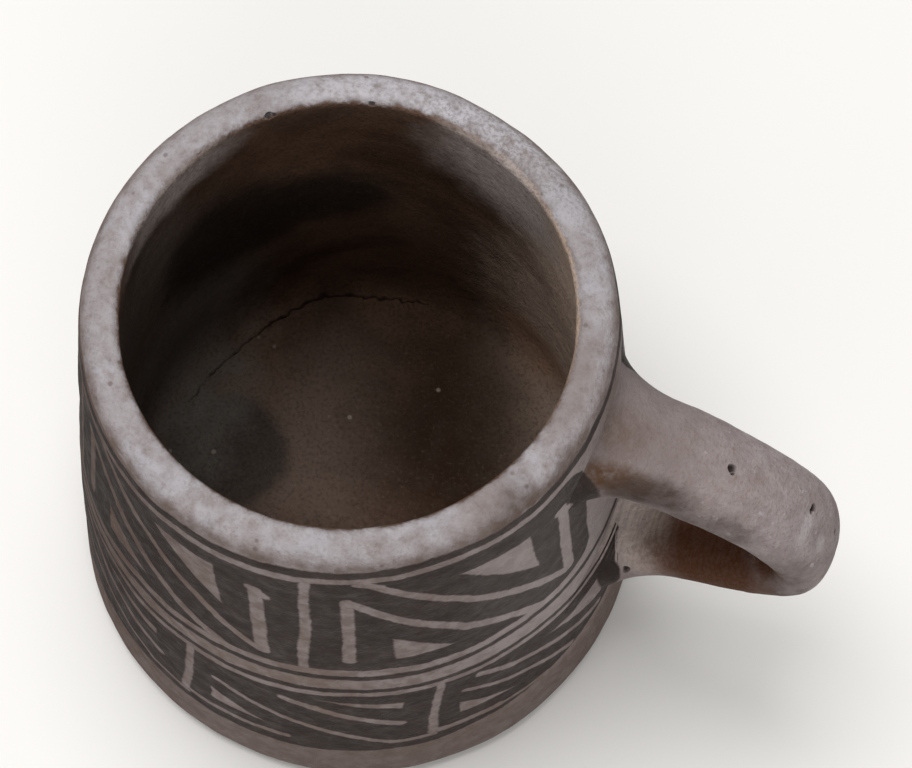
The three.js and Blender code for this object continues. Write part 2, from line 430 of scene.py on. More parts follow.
def pressPits(piece, pits, cuts):
    def nearPit(spot):
        return any((spot - Vector(at)).length < size * wear["pitFaces"] for at, size, depth in pits)

    tighten(piece, nearPit, cuts)
    ragged, fineness = wear["pitRagged"]
    rim, slope = wear["pitEdge"]
    marks = piece.data.attributes.new("hollow", "FLOAT", "POINT").data
    for at, size, depth in pits:
        centre = Vector(at)
        reach = size * wear["pitPoints"]
        near = [point for point in piece.data.vertices if (point.co - centre).length < reach]
        inward = -sum((point.normal for point in near), Vector()).normalized()
        for point in near:
            rough = 1 + ragged * noise.noise(point.co * fineness)
            sunk = eased((rim - (point.co - centre).length / (size * rough)) / slope)
            point.co += inward * depth * sunk
            marks[point.index].value = max(marks[point.index].value, sunk)


def pressCrack(piece):
    noise.seed_set(wear["crackSeed"])
    tighten(piece, nearCrack, wear["crackCuts"])
    broad, narrow = wear["crackSways"]
    rim, slope = wear["crackEdge"]
    marks = piece.data.attributes["hollow"].data
    for point in piece.data.vertices:
        if not nearCrack(point.co):
            continue
        sway = noise.noise_vector(point.co * broad) + noise.noise_vector(point.co * narrow)
        gap, half = crackGap(point.co + sway * wear["crackJitter"])
        sunk = eased((rim - gap / half) / slope)
        point.co.z -= wear["crackDepth"] * sunk
        marks[point.index].value = max(marks[point.index].value, sunk)


pressPits(mugBody, wear["potPits"], wear["potCuts"])
pressCrack(mugBody)
pressPits(mugHandle, wear["strapPits"], wear["strapCuts"])
print("wear pressed in:", len(mugBody.data.polygons), "and", len(mugHandle.data.polygons), "faces")

# Shared finishes: small helpers that lay nodes, then groups that every clay material places.
mmPerMetre = 1000.0


def tint(red, green, blue):
    # from a screen colour to a linear one
    def linear(value):
        value /= 255
        return value / 12.92 if value <= 0.04045 else ((value + 0.055) / 1.055) ** 2.4
    return (linear(red), linear(green), linear(blue), 1.0)


def feed(tree, socket, value):
    if isinstance(value, bpy.types.NodeSocket):
        tree.links.new(value, socket)
    else:
        socket.default_value = value


def lay(tree, kind, **settings):
    made = tree.nodes.new(kind)
    for label, value in settings.items():
        setattr(made, label, value)
    return made


def calc(tree, operation, *values, clamp=False):
    made = lay(tree, "ShaderNodeMath", operation=operation, use_clamp=clamp)
    for socket, value in zip(made.inputs, values):
        feed(tree, socket, value)
    return made.outputs["Value"]


def times(tree, first, second):
    return calc(tree, "MULTIPLY", first, second)


def minus(tree, first, second):
    return calc(tree, "SUBTRACT", first, second)


def span(tree, operation, *values):
    made = lay(tree, "ShaderNodeVectorMath", operation=operation)
    sockets = (made.inputs[0], made.inputs["Scale"]) if operation == "SCALE" else made.inputs
    for socket, value in zip(sockets, values):
        feed(tree, socket, value)
    return made.outputs["Value" if operation in ("LENGTH", "DOT_PRODUCT") else "Vector"]


def join(tree, x, y, z=0.0):
    made = lay(tree, "ShaderNodeCombineXYZ")
    for socket, value in zip(made.inputs, (x, y, z)):
        feed(tree, socket, value)
    return made.outputs["Vector"]


def part(tree, vector):
    made = lay(tree, "ShaderNodeSeparateXYZ")
    feed(tree, made.inputs["Vector"], vector)
    return made.outputs


def rise(tree, value, low, high, bottom=0.0, top=1.0):
    made = lay(tree, "ShaderNodeMapRange", interpolation_type="SMOOTHSTEP")
    labels = ("Value", "From Min", "From Max", "To Min", "To Max")
    for label, number in zip(labels, (value, low, high, bottom, top)):
        feed(tree, made.inputs[label], number)
    return made.outputs["Result"]


def cloud(tree, spot, scale, detail=2.0, rough=0.5, warp=0.0, output="Fac"):
    made = lay(tree, "ShaderNodeTexNoise")
    feed(tree, made.inputs["Vector"], spot)
    labels = ("Scale", "Detail", "Roughness", "Distortion")
    for label, number in zip(labels, (scale, detail, rough, warp)):
        made.inputs[label].default_value = number
    return made.outputs[output]


def sway(tree, value, size, base):
    # noise about its middle moves a base up and down
    return calc(tree, "MULTIPLY_ADD", minus(tree, value, 0.5), size, base)


def blend(tree, share, first, second):
    # the node has its sockets once per kind of data, and the colours are inputs 6 and 7 and output 2
    made = lay(tree, "ShaderNodeMix", data_type="RGBA")
    feed(tree, made.inputs[0], share)
    feed(tree, made.inputs[6], first)
    feed(tree, made.inputs[7], second)
    return made.outputs[2]


def pick(tree, operation, values):
    found = values[0]
    for value in values[1:]:
        found = calc(tree, operation, found, value)
    return found


def newGroup(name, takes, gives):
    vectors = ("Position", "Centre", "Size", "Spot", "From", "To", "A", "B", "C")
    tree = bpy.data.node_groups.new(name, "ShaderNodeTree")
    for labels, way in ((takes, "INPUT"), (gives, "OUTPUT")):
        for label in labels:
            kind = "NodeSocketVector" if label in vectors else "NodeSocketFloat"
            tree.interface.new_socket(label, in_out=way, socket_type=kind)
    return tree, lay(tree, "NodeGroupInput").outputs, lay(tree, "NodeGroupOutput").inputs


def place(tree, group, **values):
    made = lay(tree, "ShaderNodeGroup", node_tree=group)
    for label, value in values.items():
        feed(tree, made.inputs[label], value)
    return made.outputs


def makeMugPlace():
    # angle from the handle in degrees, depth below the lip and distance from the wall's outside in mm
    tree, takes, gives = newGroup("mugPlace", ["Position"], ["Angle", "Depth", "Clear"])
    x, y, z = part(tree, span(tree, "SCALE", takes["Position"], mmPerMetre))
    height, rim, foot = (mug[label] * mmPerMetre for label in ("height", "rimRadius", "footRadius"))
    feed(tree, gives["Angle"], calc(tree, "DEGREES", calc(tree, "ARCTAN2", y, x)))
    depth = minus(tree, height, z)
    feed(tree, gives["Depth"], depth)
    radius = calc(tree, "SQRT", calc(tree, "ADD", times(tree, x, x), times(tree, y, y)))
    drop = calc(tree, "DIVIDE", calc(tree, "MAXIMUM", depth, 0.0), height)
    wall = calc(tree, "MULTIPLY_ADD", calc(tree, "POWER", drop, mug["bow"]), foot - rim, rim)
    feed(tree, gives["Clear"], minus(tree, radius, wall))
    return tree


# The clay's own noise, per metre. Each cloud: scale, detail, roughness and warp.
grain = {
    "clouds": {
        "Blotch": (28.0, 3.0, 0.55, 0.6),
        "Mottle": (330.0, 4.0, 0.6, 0.3),
        "Grain": (1500.0, 2.0, 0.6),
        "Fine": (520.0, 4.0, 0.65),
    },
    "fray": (140.0, 4.0, 0.6),
    # specks: cells per metre and size in a cell
    "specks": {"Dark": (330.0, 0.20), "Pale": (260.0, 0.17)},
    "speckless": 0.84,  # share of the cells without a speck
    "speckCore": 0.45,
    "mottleHeight": 0.6,
    "grainHeight": 0.4,
    # how deep the relief is, in metres
    "relief": {"Height": 0.0006, "Fine": 0.00025},
}


def makeSoftPatch():
    # an egg-shaped patch with a frayed edge: 1 inside, 0 outside
    tree, takes, gives = newGroup(
        "softPatch", ["Position", "Centre", "Size", "Fray", "Edge"], ["Mask"])
    away = span(tree, "SUBTRACT", takes["Position"], takes["Centre"])
    away = span(tree, "LENGTH", span(tree, "DIVIDE", away, takes["Size"]))
    ragged = sway(tree, cloud(tree, takes["Position"], *grain["fray"]), takes["Fray"], away)
    outer = calc(tree, "ADD", 1.0, takes["Edge"])
    inner = minus(tree, 1.0, takes["Edge"])
    feed(tree, gives["Mask"], rise(tree, ragged, outer, inner))
    return tree


def makeClayGrain():
    labels = (*grain["clouds"], *grain["specks"], "Height")
    tree, takes, gives = newGroup("clayGrain", ["Position"], labels)
    spot = takes["Position"]
    clouds = {}
    for label, settings in grain["clouds"].items():
        clouds[label] = cloud(tree, spot, *settings)
        feed(tree, gives[label], clouds[label])
    for label, (scale, size) in grain["specks"].items():
        cells = lay(tree, "ShaderNodeTexVoronoi")
        feed(tree, cells.inputs["Vector"], spot)
        cells.inputs["Scale"].default_value = scale
        chance = part(tree, cells.outputs["Color"])["X"]
        chosen = calc(tree, "GREATER_THAN", chance, grain["speckless"])
        dot = rise(tree, cells.outputs["Distance"], size, size * grain["speckCore"])
        feed(tree, gives[label], times(tree, dot, chosen))
    low = times(tree, clouds["Grain"], grain["grainHeight"])
    height = calc(tree, "MULTIPLY_ADD", clouds["Mottle"], grain["mottleHeight"], low)
    feed(tree, gives["Height"], height)
    return tree


mugPlace = makeMugPlace()
softPatch = makeSoftPatch()
clayGrain = makeClayGrain()

# The brush's slanted way from the lower root's flare down to the wall, once below these depths in mm.
slant = {
    "way": (-0.049, -0.308, -0.95),
    "metresPerMm": 0.0058,
    "depths": (46.0, 50.0),
    "turns": 3,
}


def makeWallBelow():
    # carries a point of the flare onto the wall, a little nearer at each turn
    tree, takes, gives = newGroup("wallBelow", ["Position"], ["Position"])
    spot = takes["Position"]
    wayX, wayY, wayZ = slant["way"]
    for _ in range(slant["turns"]):
        where = place(tree, mugPlace, Position=spot)
        side = times(tree, calc(tree, "SIGN", where["Angle"]), wayY)
        low = rise(tree, where["Depth"], *slant["depths"])
        reach = times(tree, calc(tree, "MAXIMUM", where["Clear"], 0.0), low)
        reach = times(tree, reach, slant["metresPerMm"])
        spot = span(tree, "ADD", spot, span(tree, "SCALE", join(tree, wayX, side, wayZ), reach))
    feed(tree, gives["Position"], spot)
    return tree


wallBelow = makeWallBelow()

# The painted fret, in mm on the unrolled wall: x runs left to right from a panel's left bar, y is depth.
# Strokes have a half width, and the corners of all wedges run the same way round.
lowerBars = (((1.2, 60.0), (-0.8, 85.6), 0.85), ((49.7, 60.0), (47.7, 85.6), 0.85))
fret = {
    "upper": {
        "width": 59.8,
        "strokes": (
            ((0.5, 6.5), (-0.6, 48.0), 0.95), ((60.3, 6.5), (59.2, 48.0), 0.95),
            ((7.7, 14.8), (7.7, 42.0), 1.15),
            ((7.9, 15.2), (28.7, 35.7), 1.15), ((28.7, 35.7), (46.4, 49.8), 1.25),
            ((11.4, 7.5), (51.1, 43.2), 1.05), ((9.6, 7.4), (14.0, 9.0), 0.8),
            ((51.0, 15.8), (51.8, 43.0), 1.35), ((50.0, 15.4), (52.8, 18.0), 1.0),
        ),
        "wedges": (
            ((28.8, 12.4), (44.4, 29.2), (42.7, 13.1)),
            ((15.5, 32.4), (15.6, 42.3), (26.5, 42.1)),
        ),
    },
    "lowerRight": {
        "width": 48.5,
        "strokes": (
            *lowerBars,
            ((-0.8, 85.6), (13.0, 85.6), 1.0), ((13.0, 85.7), (24.0, 86.3), 0.6),
            ((6.0, 68.4), (31.0, 84.2), 0.75), ((8.8, 63.2), (40.0, 82.7), 0.85),
        ),
        "wedges": (
            ((5.0, 74.7), (4.95, 79.8), (16.0, 80.9)),
            ((25.6, 67.8), (40.9, 78.4), (42.9, 70.3)),
        ),
    },
    "lowerLeft": {
        "width": 48.5,
        "strokes": (
            *lowerBars,
            ((6.0, 68.4), (40.0, 86.2), 0.8), ((40.0, 86.5), (48.0, 87.0), 0.75),
            ((20.0, 64.5), (42.2, 77.0), 1.05), ((-0.8, 85.8), (20.0, 86.2), 0.9),
        ),
        "wedges": (
            ((5.0, 74.7), (4.95, 80.6), (16.0, 81.4)),
            ((27.5, 63.4), (42.0, 68.4), (42.5, 65.2)),
        ),
    },
}


def makeStrokeGap():
    tree, takes, gives = newGroup("strokeGap", ["Spot", "From", "To", "Half"], ["Gap"])
    run = span(tree, "SUBTRACT", takes["To"], takes["From"])
    reach = span(tree, "SUBTRACT", takes["Spot"], takes["From"])
    along = span(tree, "DOT_PRODUCT", reach, run)
    share = calc(tree, "DIVIDE", along, span(tree, "DOT_PRODUCT", run, run), clamp=True)
    miss = span(tree, "SUBTRACT", reach, span(tree, "SCALE", run, share))
    feed(tree, gives["Gap"], minus(tree, span(tree, "LENGTH", miss), takes["Half"]))
    return tree


def makeWedgeGap():
    tree, takes, gives = newGroup("wedgeGap", ["Spot", "A", "B", "C"], ["Gap"])
    sides = []
    for first, second in (("A", "B"), ("B", "C"), ("C", "A")):
        run = span(tree, "NORMALIZE", span(tree, "SUBTRACT", takes[second], takes[first]))
        reach = span(tree, "SUBTRACT", takes["Spot"], takes[first])
        sides.append(part(tree, span(tree, "CROSS_PRODUCT", run, reach))["Z"])
    feed(tree, gives["Gap"], pick(tree, "MAXIMUM", sides))
    return tree


strokeGap = makeStrokeGap()
wedgeGap = makeWedgeGap()


def makeFretPanel(name, plan):
    # distance in mm to the nearest light line of one panel, below zero inside it
    tree, takes, gives = newGroup(name, ["Spot"], ["Gap"])
    spot = takes["Spot"]
    gaps = []
    for start, end, half in plan["strokes"]:
        stroke = place(tree, strokeGap, Spot=spot, From=(*start, 0), To=(*end, 0), Half=half)
        gaps.append(stroke["Gap"])
    for a, b, c in plan["wedges"]:
        wedge = place(tree, wedgeGap, Spot=spot, A=(*a, 0), B=(*b, 0), C=(*c, 0))
        gaps.append(wedge["Gap"])
    feed(tree, gives["Gap"], pick(tree, "MINIMUM", gaps))
    return tree


upperPanel, lowerRightPanel, lowerLeftPanel = (
    makeFretPanel(name + "Panel", plan) for name, plan in fret.items())

# Where the paint runs round the wall: degrees from the handle, and mm below the lip.
bands = {
    # the first panels are wide, the rest narrow
    "upperPanels": {"start": -10.65, "wide": 69.2, "wideCount": 2, "narrow": 66.5},
    "lowerPanels": {"start": -1.15, "wide": 53.0, "wideCount": 2, "narrow": 63.0},
    # a long bar with rounded ends, open at the handle
    "upperBar": {
        "middle": 169.4, "mmPerDegree": 0.864, "half": 144.6, "top": 6.7, "bottom": 47.2, "corner": 6.0,
    },
    "lowerField": (60.3, 90.4),
    "topLine": (2.5, 4.8),
    "topLineSag": (0.5, 0.7),
    "middleLine": (50.0, 52.0),
    "lowLine": (56.5, 58.4),
    # the lines dip towards the handle, and the top ones towards the far side
    "sagAngles": (67.0, 0.0),
    "sagPower": 1.5,
    "sag": 3.9,
    "topSag": (62.0, 102.0, 0.0, 1.9),
    "footRise": (59.0, 14.0, 0.0, 5.3),
}
# The hand that paints: each noise with its size.
brush = {
    "wander": ((75.0, 1.0, 0.5), 1.5),
    "tremble": ((420.0, 2.0, 0.6), 0.7),
    "ragged": ((900.0, 2.0), 0.5),
    "edge": 0.28,
    "streaks": (170.0, 4.0, 0.65),
    "streakSquash": (1.0, 1.0, 2.2),
    "thin": (0.30, 0.62, 0.90, 1.0),
}


def unsteady(tree, spot):
    shakes = []
    for kind in ("wander", "tremble"):
        settings, size = brush[kind]
        colour = cloud(tree, spot, *settings, output="Color")
        shakes.append(span(tree, "SCALE", span(tree, "SUBTRACT", colour, (0.5, 0.5, 0.5)), size))
    return part(tree, span(tree, "ADD", *shakes))


def foldPanels(tree, angle, plan, width):
    # how far round from the start, in degrees and in panels, and how far across the panel in mm
    wide = plan["wide"]
    wideEnd = wide * plan["wideCount"]
    gone = calc(tree, "FLOORED_MODULO", minus(tree, plan["start"], angle), 360.0)
    near = calc(tree, "DIVIDE", calc(tree, "MINIMUM", gone, wideEnd), wide)
    rest = calc(tree, "MAXIMUM", minus(tree, gone, wideEnd), 0.0)
    panels = calc(tree, "ADD", near, calc(tree, "DIVIDE", rest, plan["narrow"]))
    return gone, panels, times(tree, minus(tree, 1.0, calc(tree, "FRACT", panels)), width)


def band(tree, depth, top, bottom):
    # below zero between two depths
    middle = times(tree, calc(tree, "ADD", top, bottom), 0.5)
    half = times(tree, minus(tree, bottom, top), 0.5)
    return minus(tree, calc(tree, "ABSOLUTE", minus(tree, depth, middle)), half)


def roundedBar(tree, x, y, corner):
    # below zero inside a bar, from the distances to its straight sides
    x = calc(tree, "ADD", x, corner)
    y = calc(tree, "ADD", y, corner)
    past = span(tree, "LENGTH", join(tree, *(calc(tree, "MAXIMUM", gap, 0.0) for gap in (x, y))))
    inner = calc(tree, "MINIMUM", calc(tree, "MAXIMUM", x, y), 0.0)
    return minus(tree, calc(tree, "ADD", past, inner), corner)


def makeFretPaint():
    tree, takes, gives = newGroup("fretPaint", ["Position"], ["Paint"])
    spot = takes["Position"]
    where = place(tree, mugPlace, Position=spot)
    shake = unsteady(tree, spot)
    angle = calc(tree, "ADD", where["Angle"], shake["X"])
    depth = calc(tree, "ADD", where["Depth"], shake["Y"])
    off = calc(tree, "ABSOLUTE", where["Angle"])
    sag = calc(tree, "POWER", rise(tree, off, *bands["sagAngles"]), bands["sagPower"])
    sag = times(tree, sag, bands["sag"])
    topSag = rise(tree, off, *bands["topSag"])
    footRise = rise(tree, off, *bands["footRise"])

    gone, _, x = foldPanels(tree, angle, bands["upperPanels"], fret["upper"]["width"])
    upperLight = place(tree, upperPanel, Spot=join(tree, x, depth))["Gap"]
    bar = bands["upperBar"]
    along = times(tree, minus(tree, gone, bar["middle"]), bar["mmPerDegree"])
    barX = minus(tree, calc(tree, "ABSOLUTE", along), bar["half"])
    barY = band(tree, depth, calc(tree, "ADD", topSag, bar["top"]), bar["bottom"])
    upperField = roundedBar(tree, barX, barY, bar["corner"])
    upperDark = calc(tree, "MAXIMUM", upperField, times(tree, upperLight, -1.0))

    _, panels, x = foldPanels(tree, angle, bands["lowerPanels"], fret["lowerRight"]["width"])
    here = join(tree, x, depth)
    nearLight = place(tree, lowerRightPanel, Spot=here)["Gap"]
    farLight = place(tree, lowerLeftPanel, Spot=here)["Gap"]
    isFar = calc(tree, "GREATER_THAN", panels, 1.0)
    isNear = minus(tree, 1.0, isFar)
    lowerLight = calc(tree, "ADD", times(tree, farLight, isFar), times(tree, nearLight, isNear))
    top, bottom = bands["lowerField"]
    top = calc(tree, "ADD", sag, top)
    lowerField = band(tree, depth, top, minus(tree, bottom, footRise))
    lowerDark = calc(tree, "MAXIMUM", lowerField, times(tree, lowerLight, -1.0))

    topEdges = [calc(tree, "MULTIPLY_ADD", topSag, share, edge)
                for share, edge in zip(bands["topLineSag"], bands["topLine"])]
    topLine = band(tree, depth, *topEdges)
    middleLine = band(tree, depth, *bands["middleLine"])
    lowLine = band(tree, depth, *(calc(tree, "ADD", sag, edge) for edge in bands["lowLine"]))
    dark = pick(tree, "MINIMUM", [upperDark, lowerDark, topLine, middleLine, lowLine])
    settings, size = brush["ragged"]
    dark = sway(tree, cloud(tree, spot, *settings), size, dark)
    cover = rise(tree, dark, brush["edge"], -brush["edge"])
    streaks = cloud(tree, span(tree, "MULTIPLY", spot, brush["streakSquash"]), *brush["streaks"])
    feed(tree, gives["Paint"], times(tree, cover, rise(tree, streaks, *brush["thin"])))
    return tree


fretPaint = makeFretPaint()
print("finishes ready")

# Clay of the pot: worn rim, painted slip outside, smoked brown inside.
potClay = {
    "slipPale": (136, 125, 122), "slipDull": (116, 103, 99), "slipBrown": (104, 84, 73),
    "footBrown": (96, 82, 76), "slipWorn": (172, 163, 162), "slipSmoked": (82, 63, 54),
    "paint": (49, 41, 38), "paintThin": (58, 49, 46), "paintWorn": (86, 79, 77),
    "paintBrown": (25, 14, 9),
    "rimPale": (148, 141, 142), "rimDull": (126, 117, 116), "rimChalk": (172, 168, 172),
    "rimStain": (70, 54, 45), "rimGrey": (112, 108, 109), "rimEdge": (98, 83, 76),
    "rimBrown": (116, 104, 99), "rimCool": (156, 154, 158),
    "insideBrown": (94, 71, 57), "insideDark": (56, 38, 27), "floorDeep": (34, 20, 9),
    "insidePale": (98, 82, 73), "wallPale": (212, 188, 170), "insideGrey": (58, 51, 46),
    "insideWorn": (174, 162, 157), "rust": (174, 132, 104), "smoke": (30, 26, 23),
    "smokeGrey": (118, 112, 105), "dirt": (34, 26, 22), "speck": (170, 158, 148),
}
# Each stain is the strongest of some patches: centre and size in mm, fray, edge and strength.
potStains = {
    # outside: painted light beside the handle, browned clay and painted shade on the far side
    "handled": (((50, -17, 74), (22, 19, 38), 0.7, 0.7, 1.0),),
    "browned": (((-50, -24, 66), (36, 46, 80), 0.5, 0.5, 1.0),),
    # rim: rubbed at the back, duller and stained by the handle
    "worn": (((-4, 43, 106), (34, 12, 6), 0.8, 0.6, 1.0),),
    "greySide": (((16, 38, 104), (20, 9, 9), 0.9, 0.5, 1.0),),
    "dulled": (
        ((40.5, 0, 105), (3.5, 10, 5), 0.9, 0.5, 1.0),
        ((34, -24, 105), (5, 7, 5), 0.9, 0.5, 1.0),
    ),
    "stained": (
        ((39.5, -24.5, 104.2), (6, 7, 3.2), 0.9, 0.5, 1.0),
        ((43.5, -14, 103.6), (3, 7, 2.4), 1.1, 0.6, 1.0),
    ),
    # inside: pale on the handle's side and the floor, with smoke and a grey floor blot
    "paleFloor": (((-12, 5, 9), (16, 24, 9), 0.8, 0.7, 1.0),),
    "paleWall": (
        ((36, 24, 74), (15, 28, 36), 0.7, 0.7, 1.0),
        ((32, 34, 34), (18, 22, 30), 0.7, 0.7, 1.0),
    ),
    "deep": (
        ((14, 20, 9), (20, 22, 9), 0.8, 0.7, 1.0),
        ((6, -22, 9), (26, 12, 9), 0.8, 0.7, 1.0),
    ),
    "rusty": (((25, 38, 19.5), (13, 8, 8), 1.0, 0.6, 1.0),),
    "blot": (((-29, 0, 9), (13, 12, 8), 0.5, 0.16, 1.0),),
    "smoke": (
        ((-35, 25, 58), (17, 18, 20), 0.8, 0.4, 1.0),
        ((-43, 2, 70), (14, 22, 30), 0.8, 0.5, 0.2),
        ((-22, 38, 60), (15, 12, 12), 0.9, 0.4, 1.0),
    ),
    "sooty": (
        ((-40, 10, 28), (12, 24, 24), 0.9, 0.6, 1.0),
        ((-43, 0, 58), (13, 24, 34), 0.9, 0.6, 0.6),
    ),
    # pale slip worn inside the lip, made paler with painted light
    "lipWorn": (
        ((18, 36.5, 94), (15, 11, 16), 0.9, 0.6, 1.0),
        ((-37, 13, 101), (9, 15, 6), 0.9, 0.6, 0.8),
    ),
}
# Each coat: its shade and share, then the masks that thin it. A mask with numbers is eased between
# the first two, and from the third to the fourth.
potCoats = {
    "slip": (
        ("slipPale", 1.0, ("Mottle", 0.34, 0.66)),
        ("slipBrown", 0.55, ("Blotch", 0.48, 0.72)),
        ("footBrown", 0.65, ("Depth", 84.0, 92.0)),
        # painted light: paler slip beside the handle
        ("slipWorn", 0.55, "handled"),
        # browned clay with painted shade on the far side
        ("slipSmoked", 0.92, "browned"),
    ),
    "paint": (
        ("paintThin", 1.0, ("Fine", 0.40, 0.72)),
        ("paintWorn", 0.5, "handled"),
        # painted light: paler paint beside the handle
        ("paintBrown", 0.85, "browned"),
    # browned paint with painted shade on the far side
    ),
    "rim": (
        ("rimPale", 1.0, ("Mottle", 0.32, 0.66)),
        ("rimDull", 0.4, ("Blotch", 0.42, 0.66)),
        ("rimBrown", 0.75, ("smear", 0.50, 0.36)),
        ("rimCool", 0.7, ("smear", 0.52, 0.64)),
        ("rimChalk", 1.0, "worn", ("Fine", 0.24, 0.62)),
        ("rimStain", 0.5, "Dark"),
        ("rimEdge", 0.2, ("Grain", 0.48, 0.30)),
        ("rimGrey", 0.4, "greySide", ("Grain", 0.54, 0.44)),
        ("rimStain", 0.6, ("Clear", -5.2, -6.8), ("Mottle", 0.64, 0.36, 0.2, 1.0)),
        ("rimBrown", 0.55, "dulled"),
        ("rimStain", 1.0, "stained", ("Mottle", 0.25, 0.60, 0.9, 0.5)),
        # painted shade: the lip darker from its top down its outer rounding
        ("rimEdge", 1.0, ("Depth", 0.3, 2.0), ("Mottle", 0.25, 0.65, 0.92, 0.50)),
    ),
    "inside": (
        ("insideBrown", 1.0, ("Blotch", 0.34, 0.68)),
        ("insidePale", 0.95, "paler"),
        ("wallPale", 1.0, "paleWall"),
        ("floorDeep", 0.88, "deep"),
        ("rust", 0.6, "rusty"),
        ("insideGrey", 0.92, "blot"),
        ("smokeGrey", 0.85, "sooty"),
        ("smoke", 0.85, "smoke"),
        # painted light over worn pale slip inside the lip
        ("insideWorn", 1.0, "lipWorn", ("Fine", 0.3, 0.6, 0.7, 1.0)),
        ("floorDeep", 0.30, ("Grain", 0.50, 0.34)),
        ("wallPale", 0.04, ("Grain", 0.56, 0.76)),
        ("speck", 0.4, "Pale", ("Depth", 90.0, 96.0)),
    ),
}
potLooks = {
    "dirt": 0.75,
    "roughness": (0.3, 0.7, 0.82, 0.62),
    "smear": (120.0, 5.0, 0.68, 0.5),
    "leastWorn": 0.35,
    "underLip": (13.0, 3.0, 0.0, 0.25),
    # where one clay meets the next, in mm of depth or of distance from the wall's outside
    "outside": (-4.0, -2.5),
    "ragged": 1.6,
    "rimEnd": (2.9, 2.3),
    "innerLip": (-6.2, -7.0),
    "belowLip": (1.2, 2.4),
    "inward": (-3.5, -5.0),
}
matteShine = 0.1


def startMaterial(name):
    material = bpy.data.materials.new(name)
    material.use_nodes = True
    tree = material.node_tree
    shader = tree.nodes["Principled BSDF"]
    shader.inputs["Specular IOR Level"].default_value = matteShine
    return material, tree, shader


def shades(palette):
    return {label: tint(*colour) for label, colour in palette.items()}


def stain(tree, spot, patches):
    masks = []
    for centre, size, fray, edge, strength in patches:
        middle, reach = ([number / mmPerMetre for number in row] for row in (centre, size))
        patch = place(tree, softPatch, Position=spot, Centre=middle, Size=reach, Fray=fray, Edge=edge)
        masks.append(times(tree, patch["Mask"], strength))
    return pick(tree, "MAXIMUM", masks)


def readClay(tree, stains):
    # the place on the mug and every mask that a coat can follow
    spot = lay(tree, "ShaderNodeTexCoord").outputs["Object"]
    masks = {"hollow": lay(tree, "ShaderNodeAttribute", attribute_name="hollow").outputs["Fac"]}
    for group in (mugPlace, clayGrain):
        masks.update(place(tree, group, Position=spot).items())
    for label, patches in stains.items():
        masks[label] = stain(tree, spot, patches)
    return spot, masks


def layCoats(tree, colour, coats, masks, shade):
    for label, share, *limits in coats:
        cover = share
        for limit in limits:
            if isinstance(limit, str):
                mask = masks[limit]
            else:
                mask = rise(tree, masks[limit[0]], *limit[1:])
            cover = times(tree, mask, cover)
        colour = blend(tree, cover, colour, shade[label])
    return colour


def finishClay(tree, shader, colour, masks, plan, dirt):
    # dirt in the pits and the crack, then how rough the clay is
    colour = blend(tree, times(tree, masks["hollow"], plan["dirt"]), colour, dirt)
    feed(tree, shader.inputs["Base Color"], colour)
    feed(tree, shader.inputs["Roughness"], rise(tree, masks["Mottle"], *plan["roughness"]))
    target = shader.inputs["Normal"]
    for label, depth in reversed(grain["relief"].items()):
        bump = lay(tree, "ShaderNodeBump")
        bump.inputs["Strength"].default_value = 1.0
        bump.inputs["Distance"].default_value = depth
        feed(tree, bump.inputs["Height"], masks[label])
        feed(tree, target, bump.outputs["Normal"])
        target = bump.inputs["Normal"]


def makeWallMaterial():
    material, tree, shader = startMaterial("slippedWall")
    shade = shades(potClay)
    spot, masks = readClay(tree, potStains)
    depth, clear = masks["Depth"], masks["Clear"]
    masks["smear"] = cloud(tree, spot, *potLooks["smear"])
    masks["worn"] = calc(tree, "MAXIMUM", masks["worn"], potLooks["leastWorn"])
    underLip = rise(tree, depth, *potLooks["underLip"])
    masks["paler"] = calc(tree, "MAXIMUM", masks["paleFloor"], underLip)

    slip = layCoats(tree, shade["slipDull"], potCoats["slip"], masks, shade)
    painted = layCoats(tree, shade["paint"], potCoats["paint"], masks, shade)
    paint = place(tree, fretPaint, Position=spot)["Paint"]
    paint = times(tree, paint, rise(tree, clear, *potLooks["outside"]))
    outside = blend(tree, paint, slip, painted)

    rim = layCoats(tree, shade["rimDull"], potCoats["rim"], masks, shade)
    edge = sway(tree, masks["Mottle"], potLooks["ragged"], depth)
    outside = blend(tree, rise(tree, edge, *potLooks["rimEnd"]), outside, rim)

    inside = layCoats(tree, shade["insideDark"], potCoats["inside"], masks, shade)
    innerLip = sway(tree, masks["Mottle"], potLooks["ragged"], clear)
    innerLip = rise(tree, innerLip, *potLooks["innerLip"])
    inward = rise(tree, clear, *potLooks["inward"])
    below = times(tree, rise(tree, edge, *potLooks["belowLip"]), inward)
    colour = blend(tree, calc(tree, "MAXIMUM", innerLip, below), outside, inside)
    finishClay(tree, shader, colour, masks, potLooks, shade["dirt"])
    return material
